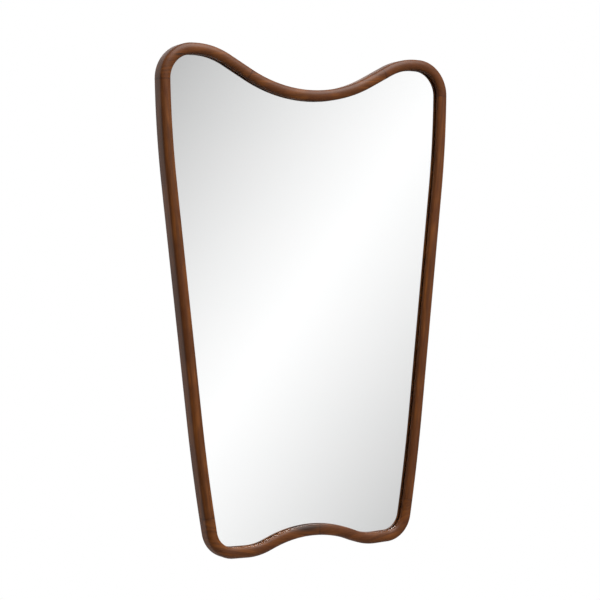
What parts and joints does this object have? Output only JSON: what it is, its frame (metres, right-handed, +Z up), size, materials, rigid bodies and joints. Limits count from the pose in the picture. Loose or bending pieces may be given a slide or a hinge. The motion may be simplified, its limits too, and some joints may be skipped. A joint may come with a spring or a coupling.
{
  "type": "wall mirror",
  "caption": "Irregular butterfly-shaped wall mirror in a slim walnut-stained wood frame, with a screwed-in backing board and hanging D-rings.",
  "frame": {"origin": "middle of the mirror's outer box: half way across, half way up, and half way from the frame's front to the bumpers' faces on the wall", "axes": "+Z up, +X to the right as seen from the front, -Y towards the viewer and +Y towards the wall"},
  "size_m": [0.6116, 0.0324, 0.9146],
  "materials": {
    "frame_wood": "walnut-brown stain under satin lacquer",
    "tenon_wood": "plain compressed beech",
    "mirror_glass": "silvered float glass",
    "foam": "white foam sheet",
    "backing_board": "black painted fibreboard",
    "hardware": "zinc plated",
    "bumper": "matte"
  },
  "bodies": {
    "root": {"top_rail": "frame_wood", "top_left_corner": "frame_wood", "top_right_corner": "frame_wood", "left_stile": "frame_wood", "right_stile": "frame_wood", "bottom_left_corner": "frame_wood", "bottom_right_corner": "frame_wood", "top_left_tenon": "tenon_wood", "top_right_tenon": "tenon_wood", "upper_left_tenon": "tenon_wood", "upper_right_tenon": "tenon_wood", "lower_left_tenon": "tenon_wood", "lower_right_tenon": "tenon_wood", "bottom_tenon": "tenon_wood", "mirror_glass": "mirror_glass", "foam_sheet": "foam", "backing_board": "backing_board", "left_hump_button_screw": "hardware", "left_upper_button_screw": "hardware", "left_lower_button_screw": "hardware", "left_lobe_button_screw": "hardware", "right_hump_button_screw": "hardware", "right_upper_button_screw": "hardware", "right_lower_button_screw": "hardware", "right_lobe_button_screw": "hardware", "left_hanger_strap": "hardware", "left_hanger_upper_screw": "hardware", "left_hanger_lower_screw": "hardware", "right_hanger_strap": "hardware", "right_hanger_upper_screw": "hardware", "right_hanger_lower_screw": "hardware", "left_upper_bumper": "bumper", "left_lower_bumper": "bumper", "right_upper_bumper": "bumper", "right_lower_bumper": "bumper"},
    "left_hump_button": {"left_hump_button": "hardware"},
    "left_upper_button": {"left_upper_button": "hardware"},
    "left_lower_button": {"left_lower_button": "hardware"},
    "left_lobe_button": {"left_lobe_button": "hardware"},
    "right_hump_button": {"right_hump_button": "hardware"},
    "right_upper_button": {"right_upper_button": "hardware"},
    "right_lower_button": {"right_lower_button": "hardware"},
    "right_lobe_button": {"right_lobe_button": "hardware"},
    "left_hanger_ring": {"left_hanger_ring": "hardware"},
    "right_hanger_ring": {"right_hanger_ring": "hardware"}
  },
  "joints": [
    {"name": "left_ring_swing", "type": "hinge", "parent": "root", "child": "left_hanger_ring", "pos_m": [-0.28947, 0.01305, 0.27193], "axis": [1, 0, 0], "range_deg": [0, 175]},
    {"name": "right_ring_swing", "type": "hinge", "parent": "root", "child": "right_hanger_ring", "pos_m": [0.28947, 0.01305, 0.27193], "axis": [1, 0, 0], "range_deg": [0, 175]},
    {"name": "left_hump_button_turn", "type": "hinge", "parent": "root", "child": "left_hump_button", "pos_m": [-0.20264, 0.01155, 0.44674], "axis": [0, 1, 0], "range_deg": [-90, 90]},
    {"name": "left_upper_button_turn", "type": "hinge", "parent": "root", "child": "left_upper_button", "pos_m": [-0.28117, 0.01155, 0.1575], "axis": [0, 1, 0], "range_deg": [-90, 90]},
    {"name": "left_lower_button_turn", "type": "hinge", "parent": "root", "child": "left_lower_button", "pos_m": [-0.2418, 0.01155, -0.19298], "axis": [0, 1, 0], "range_deg": [-90, 90]},
    {"name": "left_lobe_button_turn", "type": "hinge", "parent": "root", "child": "left_lobe_button", "pos_m": [-0.1156, 0.01155, -0.44874], "axis": [0, 1, 0], "range_deg": [-90, 90]},
    {"name": "right_hump_button_turn", "type": "hinge", "parent": "root", "child": "right_hump_button", "pos_m": [0.20264, 0.01155, 0.44674], "axis": [0, 1, 0], "range_deg": [-90, 90]},
    {"name": "right_upper_button_turn", "type": "hinge", "parent": "root", "child": "right_upper_button", "pos_m": [0.28117, 0.01155, 0.1575], "axis": [0, 1, 0], "range_deg": [-90, 90]},
    {"name": "right_lower_button_turn", "type": "hinge", "parent": "root", "child": "right_lower_button", "pos_m": [0.2418, 0.01155, -0.19298], "axis": [0, 1, 0], "range_deg": [-90, 90]},
    {"name": "right_lobe_button_turn", "type": "hinge", "parent": "root", "child": "right_lobe_button", "pos_m": [0.1156, 0.01155, -0.44874], "axis": [0, 1, 0], "range_deg": [-90, 90]}
  ]
}
